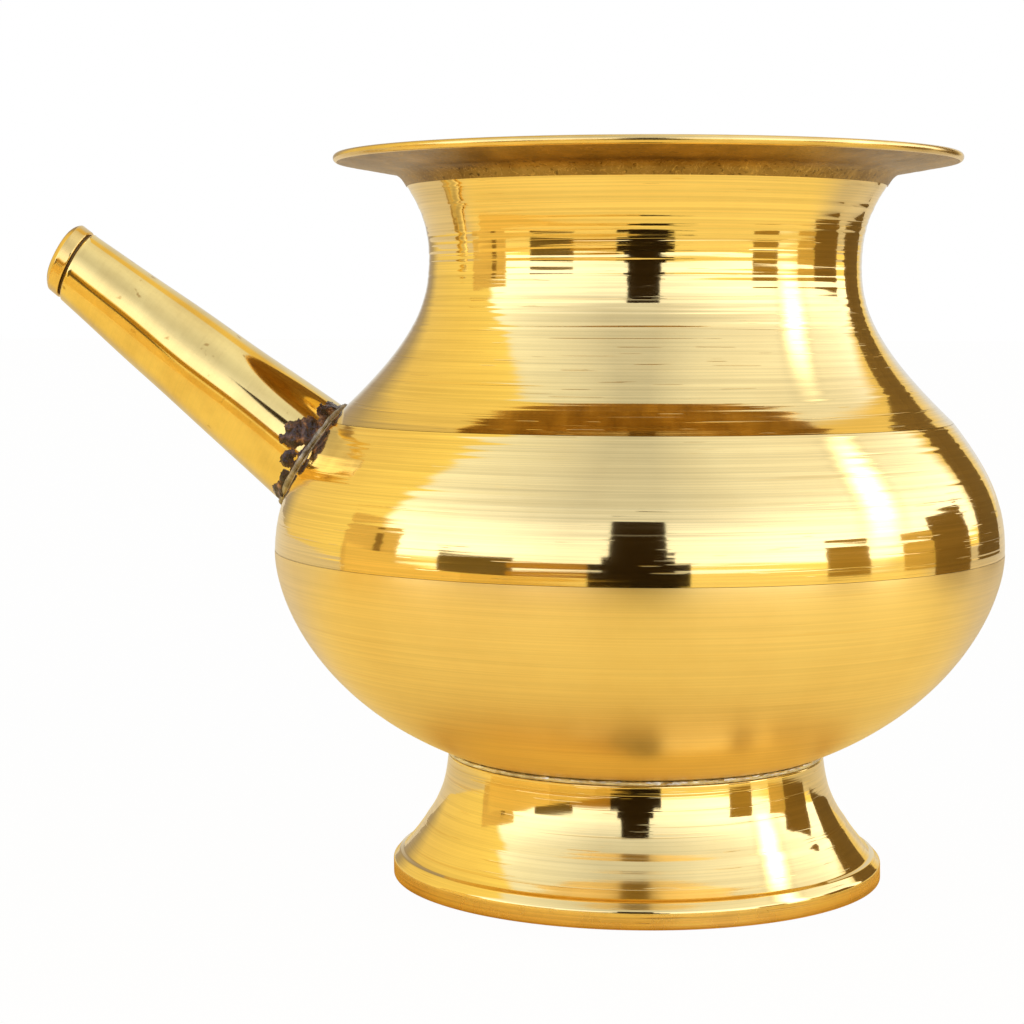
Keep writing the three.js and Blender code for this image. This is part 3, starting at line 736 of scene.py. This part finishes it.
# BRAZE RINGS
# Dull filler metal that ran into the channel behind each of the three lap joints and set with a low crown.
# It shows only inside the pot, as a grey-brown line round the wall.
FILLER_CROWN, FILLER_LUMPS = 0.25 * MM, 0.03 * MM
FILLER_GAP = 0.1 * MM
CROWN_POINTS = 9
braze_material = brass(
    "braze", (0.52, 0.46, 0.36), (0.09, 0.06, 0.035), amount=1.0, roughness=0.4, spread=0.3,
    depths=(8e-6, 4e-6, 0.0), anisotropy=0.0, streak=0.2, score=0.3, mottle=400.0,
)
arch = np.sin(np.linspace(0, math.pi, CROWN_POINTS))
for name, node, path, low, high in (
    ("belly_filler", "belly_braze_ring", shoulder_path, LAP, SOCKET_LENGTH),
    ("crease_filler", "shoulder_braze_ring", neck_path, LAP, SOCKET_LENGTH),
    ("rim_filler", "rim_braze_ring", neck_path, neck_end - SOCKET_LENGTH, neck_end - LAP),
):
    low, high = low + FILLER_GAP, high - FILLER_GAP
    depths = WALL + FILLER_CROWN * arch
    crown = [point_on(path, place, depth) for place, depth in zip(np.linspace(high, low, CROWN_POINTS), depths)]
    lumps = np.random.default_rng(7).normal(0.0, FILLER_LUMPS, (CROWN_POINTS, AROUND)) * arch[:, None]
    ring = turned(name, [
        (strip(path, low, high, SPIGOT_DEPTH, 0.5 * MM), 0, 0.0),
        (np.array(crown), 0, lumps),
    ], [braze_material])
    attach(ring, "root")
    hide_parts(node)

# PEDESTAL FOOT
# The hollow flared foot, turned from thicker brass and polished brighter than the rest of the pot.
# It stands on a plain band with a fine groove and line above it, and its lip is soldered to the bowl.
FOOT_RADIUS, FOOT_INNER = 37.9 * MM, 34.9 * MM
FOOT_BAND = 2.7 * MM
FOOT_LEAN = -48.0
LIP_RADIUS, LIP_WIDTH = 28.9 * MM, 1.2 * MM
LIP_DROP, LIP_LEAN = 0.7 * MM, -5.0
EDGE_ROUND = 0.35 * MM
LIP_ROUND, LIP_FLAT = 0.25, 0.3
RELIEF_PLACES = np.array((0.0, 1.5, 2.1, 5.0, 8.0, 14.0)) * MM
RELIEF_DEPTHS = np.array((0.0, -0.16, 0.1, -0.06, -0.22, 0.0)) * MM
FLARE_STEP, BAND_STEP, LIP_STEP, HOLLOW_STEP = 0.12 * MM, 0.2 * MM, 0.5 * MM, 0.8 * MM
FOOT_AROUND, ROUND_POINTS = 224, 6

foot_brass = brass(
    "foot_brass", (0.91, 0.7, 0.3), (0.7, 0.45, 0.14), amount=0.2, roughness=0.05, spread=0.04,
    depths=(7e-6, 1.5e-6, 7e-6), anisotropy=0.5, streak=0.09, score=0.5,
)
band_brass = brass(
    "band_brass", (0.93, 0.71, 0.28), (0.5, 0.3, 0.08), amount=0.4, roughness=0.22, spread=0.1,
    depths=(6e-6, 3e-6, 8e-6), anisotropy=0.4, streak=0.2, score=0.6, mottle=160.0,
)
seat = [np.interp(r, bowl_path[:, 0], lengths_along(bowl_path)) for r in (LIP_RADIUS - LIP_WIDTH, LIP_RADIUS)]
lip_inner, lip_outer = (point_on(bowl_path, place, -LIP_DROP) for place in seat)
lip_across = lip_inner - lip_outer
flare_outer = bend((FOOT_RADIUS, FOOT_BAND), FOOT_LEAN, lip_outer, LIP_LEAN)
flare_inner = bend((FOOT_INNER, FOOT_BAND), FOOT_LEAN, lip_inner, 0.0)
flare_end = lengths_along(flare_outer)[-1]
band_top = point_on(flare_outer, EDGE_ROUND, 0.0)
lip_turn = point_on(flare_outer, flare_end - EDGE_ROUND, 0.0)
flare = strip(flare_outer, EDGE_ROUND, flare_end - EDGE_ROUND, 0.0, FLARE_STEP)
places = EDGE_ROUND + lengths_along(flare)[:, None]
marks = tool_marks(flare, seed=41, pitch=0.9 * MM, depth=6e-6, around=FOOT_AROUND)
marks += np.interp(places, RELIEF_PLACES, RELIEF_DEPTHS)
toe = (FOOT_RADIUS - EDGE_ROUND, 0.0)
band_low, band_high = (FOOT_RADIUS, EDGE_ROUND), (FOOT_RADIUS, FOOT_BAND - EDGE_ROUND)
pedestal_foot = turned("foot", [
    (straight((FOOT_INNER, 0.0), toe, INNER_STEP), 1, 0.0),
    (rounding(toe, (FOOT_RADIUS, 0.0), band_low, ROUND_POINTS)[1:], 2, 0.0),
    (straight(band_low, band_high, BAND_STEP)[1:], 2, 0.0),
    (rounding(band_high, (FOOT_RADIUS, FOOT_BAND), band_top, ROUND_POINTS)[1:-1], 0, 0.0),
    (flare, 0, marks),
    (rounding(lip_turn, lip_outer, lip_outer + LIP_ROUND * lip_across, ROUND_POINTS)[1:], 0, 0.0),
    (straight(lip_outer + LIP_FLAT * lip_across, lip_inner, LIP_STEP), 1, 0.0),
    (strip(flare_inner, lengths_along(flare_inner)[-1], 0.0, 0.0, HOLLOW_STEP)[1:], 1, 0.0),
], [foot_brass, inner_brass, band_brass], FOOT_AROUND)
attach(pedestal_foot, "root")
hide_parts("pedestal_foot")

# FOOT SOLDER RING
# A line of pale, grainy soft solder between the foot's lip and the bowl, which it holds together.
# It was squeezed out a little when the foot was pressed home, and left as it set.
SOLDER_LOW, SOLDER_HIGH = -0.66 * MM, -0.04 * MM
SOLDER_SWELL = np.array((0.35, 0.55)) * MM
SOLDER_GRAIN = 0.05 * MM
SOLDER_STEP = 0.4 * MM
SOLDER_AROUND = 420
solder_material = brass(
    "solder", (0.86, 0.83, 0.77), (0.34, 0.28, 0.2), amount=0.75, roughness=0.3, spread=0.3,
    depths=(8e-6, 6e-6, 0.0), anisotropy=0.0, streak=0.2, score=0.3, mottle=400.0,
)
low_side = strip(bowl_path, seat[0], seat[1], SOLDER_LOW, SOLDER_STEP)
high_side = strip(bowl_path, seat[1], seat[0], SOLDER_HIGH, SOLDER_STEP)
swell = rounding(low_side[-1], low_side[-1] + SOLDER_SWELL, high_side[0], 7)[1:-1]
grains = np.random.default_rng(13).normal(0.0, SOLDER_GRAIN, (len(swell), SOLDER_AROUND))
foot_solder = turned("foot_solder", [
    (low_side, 0, 0.0),
    (swell, 0, grains),
    (high_side, 0, 0.0),
], [solder_material], SOLDER_AROUND)
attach(foot_solder, "root")
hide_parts("foot_solder_ring")

# SPOUT TUBE
# A tapered tube rolled from sheet brass and polished lengthwise, saddle-cut to sit on the shoulder.
# Its far end is cut a little out of square and rounded over, to take the nosepiece.
SPOUT_LENGTH = 46.6 * MM
ROOT_RADIUS, TIP_RADIUS = 8.8 * MM, 5.6 * MM
TUBE_WALL = 1.2 * MM
ROOT_GAP = 0.05 * MM
END_ROUND = 0.3 * MM
END_SKEW = math.tan(math.radians(10.5))
SIDE_WANDER = 0.04 * MM
SADDLE_NEAR, SADDLE_FAR, SADDLE_TRIES = -9.0 * MM, 12.0 * MM, 40
TUBE_AROUND, SIDE_RINGS, END_RINGS, BORE_RINGS = 144, 90, 8, 30

vessel_path = np.concatenate([bowl_path, shoulder_path[1:], neck_path[1:]])
tube_turn = full_turn(TUBE_AROUND)


def tube_radius(distance):
    """The tube's outer radius at a distance from the shoulder."""
    return ROOT_RADIUS + (TIP_RADIUS - ROOT_RADIUS) * distance / SPOUT_LENGTH


def saddle(inset, lift):
    """How far along the spout its side, set in from the outer face, stands a lift off the vessel."""
    near, far = np.full(TUBE_AROUND, SADDLE_NEAR), np.full(TUBE_AROUND, SADDLE_FAR)
    turn_matrix = np.array(spout_frame)
    for _ in range(SADDLE_TRIES):
        middle = (near + far) / 2
        radius = tube_radius(middle) - inset
        local = np.stack([radius * np.cos(tube_turn), radius * np.sin(tube_turn), middle, np.ones(TUBE_AROUND)])
        x, y, z, _ = turn_matrix @ local
        off = np.hypot(x - AXIS_X - stray(z), y) - np.interp(z, vessel_path[:, 1], vessel_path[:, 0])
        near, far = np.where(off < lift, middle, near), np.where(off < lift, far, middle)
    return middle


def tube_rings(distances, radii, turn=tube_turn):
    """Rings of points round the spout, in its own frame."""
    flat = np.broadcast_arrays(radii * np.cos(turn), radii * np.sin(turn), distances)
    return np.stack(flat, axis=2)


spout_brass = brass(
    "spout_brass", (0.89, 0.67, 0.25), (0.5, 0.29, 0.08), amount=0.4, roughness=0.06, spread=0.05,
    depths=(1e-6, 0.3e-6, 0.0), anisotropy=0.0, streak=0.02, score=0.8, mottle=110.0, specks=True,
)
root_line, bore_line = saddle(0.0, ROOT_GAP), saddle(TUBE_WALL, ROOT_GAP)
end_line = SPOUT_LENGTH - END_ROUND + TIP_RADIUS * np.cos(tube_turn) * END_SKEW
share = np.linspace(0.0, 1.0, SIDE_RINGS)[:, None]
side = root_line + (end_line - root_line) * share
over = np.linspace(0.0, math.pi / 2, END_RINGS)[1:, None]
lip = end_line + END_ROUND * np.sin(over)
bore = np.linspace(1.0, 0.0, BORE_RINGS)[:, None]
inside = bore_line + (end_line + END_ROUND - bore_line) * bore
wander = np.cos(2 * tube_turn + 9 * share) + np.cos(3 * tube_turn - 14 * share + 1.0)
wander = SIDE_WANDER * wander * np.sin(math.pi * share)
rings = np.concatenate([
    tube_rings(side, tube_radius(side) + wander),
    tube_rings(lip, TIP_RADIUS - END_ROUND * (1 - np.cos(over))),
    tube_rings(inside, tube_radius(inside) - TUBE_WALL),
])
row_finish = [0] * (len(side) + len(lip)) + [1] * len(inside)
spout_tube = swept("spout", rings, [spout_brass, inner_brass], row_finish, True, spout_frame)
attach(spout_tube, "root")
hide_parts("spout_tube")

# SPOUT NOSEPIECE
# The turned tip that seals the nostril: a spigot pushed into the tube, a groove, and a short bead with a
# broad chamfer at its end, bored through for the water.
NOSE_GROOVE, GROOVE_DEPTH = 0.38 * MM, 0.5 * MM
NOSE_BEAD, NOSE_CHAMFER = 2.82 * MM, 0.9 * MM
NOSE_BORE, BORE_EDGE = 2.6 * MM, 0.2 * MM
NOSE_GAP, SPIGOT_GAP = 0.04 * MM, 0.05 * MM
SPIGOT_LENGTH = 6.0 * MM
BEAD_EDGE = 0.18 * MM


def spigot_radius(distance):
    """The spigot's radius at a distance from the shoulder, a little less than the tube's bore."""
    return tube_radius(distance) - TUBE_WALL - SPIGOT_GAP


def inset(drop, place):
    """A point of the bead's outline, a drop inside its full radius."""
    return TIP_RADIUS - drop * MM, place


seat_at = SPOUT_LENGTH + NOSE_GAP
bead_at = seat_at + NOSE_GROOVE
bead_end = bead_at + NOSE_BEAD
chamfer_at = bead_end - NOSE_CHAMFER
spigot_at = SPOUT_LENGTH - SPIGOT_LENGTH
groove = TIP_RADIUS - GROOVE_DEPTH
spigot_tip, spigot_root = (spigot_radius(spigot_at), spigot_at), (spigot_radius(seat_at), seat_at)
bead_start, bead_side = (TIP_RADIUS - BEAD_EDGE, bead_at), (TIP_RADIUS, bead_at + BEAD_EDGE)
bead_low, bead_turn = inset(0.04, chamfer_at - 0.12 * MM), inset(0.15, chamfer_at + 0.1 * MM)
nose_face, bore_mouth = inset(1.2, bead_end), (NOSE_BORE + BORE_EDGE, bead_end)
nose_runs = [
    (straight((NOSE_BORE, spigot_at), spigot_tip, MM), 0),
    (straight(spigot_tip, spigot_root, 1.5 * MM)[1:], 1),
    (straight(spigot_root, (groove, seat_at), 0.3 * MM)[1:], 1),
    (straight((groove, seat_at), (groove, bead_at), 0.15 * MM)[1:], 1),
    (straight((groove, bead_at), bead_start, 0.15 * MM)[1:], 0),
    (rounding(bead_start, (TIP_RADIUS, bead_at), bead_side, 5)[1:], 0),
    (straight(bead_side, bead_low, 0.25 * MM)[1:], 0),
    (rounding(bead_low, inset(0.05, chamfer_at), bead_turn, 4)[1:], 0),
    (rounding(bead_turn, inset(0.55, bead_end - 0.3 * MM), nose_face, 8)[1:], 0),
    (straight(nose_face, bore_mouth, 0.4 * MM)[1:], 0),
    (rounding(bore_mouth, (NOSE_BORE, bead_end), (NOSE_BORE, bead_end - BORE_EDGE), 4)[1:], 0),
]
nose_brass = brass(
    "nose_brass", (0.84, 0.59, 0.21), (0.5, 0.3, 0.08), amount=0.5, roughness=0.1, spread=0.06,
    depths=(1e-6, 0.3e-6, 0.0), anisotropy=0.0, streak=0.04, score=0.0, mottle=200.0,
)
# A dark brown finish in the groove, also on the spigot inside the tube.
dark_groove_brass = brass(
    "dark_groove_brass", (0.16, 0.1, 0.04), (0.04, 0.025, 0.012), amount=0.8, roughness=0.45, spread=0.2,
    depths=(2e-6, 1e-6, 0.0), anisotropy=0.0, streak=0.1, score=0.0,
)
nose_outline = np.concatenate([points for points, _ in nose_runs])
row_finish = [finish for points, finish in nose_runs for _ in points]
radii, along = nose_outline[:, :1], nose_outline[:, 1:]
rings = tube_rings(along + radii * np.cos(tube_turn) * END_SKEW, radii)
nosepiece = swept("nosepiece", rings, [nose_brass, dark_groove_brass], row_finish, True, spout_frame)
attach(nosepiece, "root")
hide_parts("spout_nosepiece")

# SPOUT BRAZE
# The lumpy grey bead of braze that holds the tube on the shoulder.
# It was run by hand all round the root of the tube, and is thicker in some places than in others.
BEAD_SIZE, BEAD_SQUASH = 0.4 * MM, 0.75
BEAD_OFF, BEAD_LIFT = 0.25 * MM, 0.3 * MM
BEAD_SWELL, BEAD_LUMPS = 0.16, 0.06
BEAD_POINTS, SWELL_STEP, SWELL_DRAWS = 12, 3, 47
corner_line = saddle(-BEAD_OFF, BEAD_LIFT)
ring_turn = full_turn(BEAD_POINTS)
rng = np.random.default_rng(17)
swell_places = np.arange(0, TUBE_AROUND + SWELL_STEP, SWELL_STEP)
swells = np.resize(rng.normal(0, 1, SWELL_DRAWS), len(swell_places))
fat = BEAD_SIZE * (1.0 + BEAD_SWELL * np.interp(np.arange(TUBE_AROUND), swell_places, swells))
bumps = fat[:, None] * (1.0 + BEAD_LUMPS * rng.normal(0, 1, (TUBE_AROUND, BEAD_POINTS)))
bead_radius = (tube_radius(corner_line) + BEAD_OFF)[:, None] + BEAD_SQUASH * bumps * np.cos(ring_turn)
section = np.stack([
    bead_radius * np.cos(tube_turn)[:, None],
    bead_radius * np.sin(tube_turn)[:, None],
    corner_line[:, None] + bumps * np.sin(ring_turn),
], axis=2)
braze_bead = swept("spout_braze", section, [braze_material], [0] * TUBE_AROUND, True, spout_frame)
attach(braze_bead, "root")
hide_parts("spout_braze_fillet")

# FLUX CRUST
# Burnt flux that boiled out of the braze and set in dark glassy lumps, which nobody cleaned off.
# It clings to the root of the tube, thickest on one side, and runs as a thin film along the joint.
# Each lump: its place along and round the tube (mm, degrees), its length, half width and height (mm).
CRUST_LUMPS = (
    (3.3, -78, 1.9, 2.4, 0.55), (1.6, -66, 1.9, 2.6, 0.5), (1.9, -101, 1.4, 1.6, 0.45), (1.0, -121, 1.0, 1.8, 0.32),
    (0.9, -141, 1.4, 2.6, 0.5), (1.2, -30, 1.7, 2.8, 0.2), (0.6, -50, 1.1, 2.4, 0.35),
)
CRUST_REACH, CRUST_STEP = 6.0 * MM, 0.12 * MM
CRUST_ROOT = -0.15 * MM
CRUST_AROUND = 460
FILM_DEPTH, FILM_REACH, FILM_RAGGED = 0.12, 0.9, 0.5
GRIT_SHARE, BLOTCH_SHARE, LUMP_EDGE = 0.3, 0.6, 1.4


def uneven_field(rows, columns, cells_up, cells_round, seed):
    """A smooth random field over a grid that closes on itself across."""
    knots = np.random.default_rng(seed).uniform(-1.0, 1.0, (cells_up + 2, cells_round))
    up, across = np.linspace(0, cells_up, rows)[:, None], np.arange(columns) * cells_round / columns
    i, j = up.astype(int), across.astype(int)
    s, t = smooth_step(up - i), smooth_step(across - j)
    after = (j + 1) % cells_round
    low = (1 - t) * knots[i, j] + t * knots[i, after]
    high = (1 - t) * knots[i + 1, j] + t * knots[i + 1, after]
    return (1 - s) * low + s * high


up = np.arange(0.0, CRUST_REACH, CRUST_STEP)[:, None]
crust_turn = full_turn(CRUST_AROUND)
grit = uneven_field(len(up), CRUST_AROUND, cells_up=14, cells_round=130, seed=3)
blotch = uneven_field(len(up), CRUST_AROUND, cells_up=5, cells_round=44, seed=4)
film_end = (FILM_REACH + FILM_RAGGED * blotch) * MM
depth = (FILM_DEPTH + FILM_DEPTH * blotch) * MM * (1 - smooth_step(up / film_end))
for rise, angle, length, width, height in CRUST_LUMPS:
    sideways = ROOT_RADIUS / MM * ((crust_turn - math.radians(angle) + math.pi) % (2 * math.pi) - math.pi)
    spread = ((up / MM - rise) / length) ** 2 + (sideways / width) ** 2
    gritty = 1.0 + GRIT_SHARE * grit
    lump = height * (1.0 - spread * gritty + BLOTCH_SHARE * blotch) * gritty
    depth = np.maximum(depth, MM * lump * np.clip(LUMP_EDGE - spread, 0.0, 1.0))
foot_of_crust = np.interp(crust_turn, np.append(tube_turn, 2 * math.pi), np.append(root_line, root_line[0]))
distance = foot_of_crust + up
above_tube = tube_rings(distance, tube_radius(distance) + depth, crust_turn)
in_tube = tube_rings(distance, tube_radius(distance) + CRUST_ROOT, crust_turn)
solid = depth > 0.0
cells = []
for i in range(len(up) - 1):
    for j in range(CRUST_AROUND):
        n = (j + 1) % CRUST_AROUND
        cell = [(i, j), (i + 1, j), (i + 1, n), (i, n)]
        if all(solid[spot] for spot in cell):
            cells.append(cell)
sides = {(a, b): True for cell in cells for a, b in zip(cell, cell[1:] + cell[:1])}
spots = sorted({spot for cell in cells for spot in cell})
turn_crust = np.array(spout_frame.to_3x3())
build = bmesh.new()
top_at = {spot: build.verts.new(turn_crust @ above_tube[spot]) for spot in spots}
low_at = {spot: build.verts.new(turn_crust @ in_tube[spot]) for spot in spots}
for cell in cells:
    build.faces.new([top_at[spot] for spot in cell]).smooth = True
    build.faces.new([low_at[spot] for spot in reversed(cell)])
for a, b in sides:
    if (b, a) not in sides:
        build.faces.new([top_at[b], top_at[a], low_at[a], low_at[b]])
if build.calc_volume(signed=True) < 0:
    bmesh.ops.reverse_faces(build, faces=build.faces)
mesh = bpy.data.meshes.new("flux_crust")
build.to_mesh(mesh)
build.free()

BURNT_TONES = [
    (0.3, (0.014, 0.008, 0.006)), (0.48, (0.045, 0.017, 0.009)),
    (0.58, (0.12, 0.05, 0.02)), (0.68, (0.45, 0.2, 0.06)),
]
CRUST_RELIEF = 0.12 * MM
flux_glass, tree, out = blank_material("flux_glass")
spot = shade(tree, "TexCoord").outputs["Object"]
burnt = color_ramp(tree, cloud_noise(tree, spot, 700.0, 4.0, 0.6), BURNT_TONES)
grain = cloud_noise(tree, spot, 2600.0, 3.0)
dullness = between(tree, grain, 0.0, 1.0, 0.05, 0.45)
bump = shade(tree, "Bump", {"Strength": 1.0, "Distance": CRUST_RELIEF, "Height": grain})
glass = shade(tree, "BsdfPrincipled", {
    "Base Color": burnt, "Roughness": dullness, "Normal": bump.outputs[0],
})
tree.links.new(glass.outputs[0], out.inputs["Surface"])
mesh.materials.append(flux_glass)
flux_crust = bpy.data.objects.new("flux_crust", mesh)
flux_crust.location = spout_frame.translation
scene.collection.objects.link(flux_crust)
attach(flux_crust, "root")
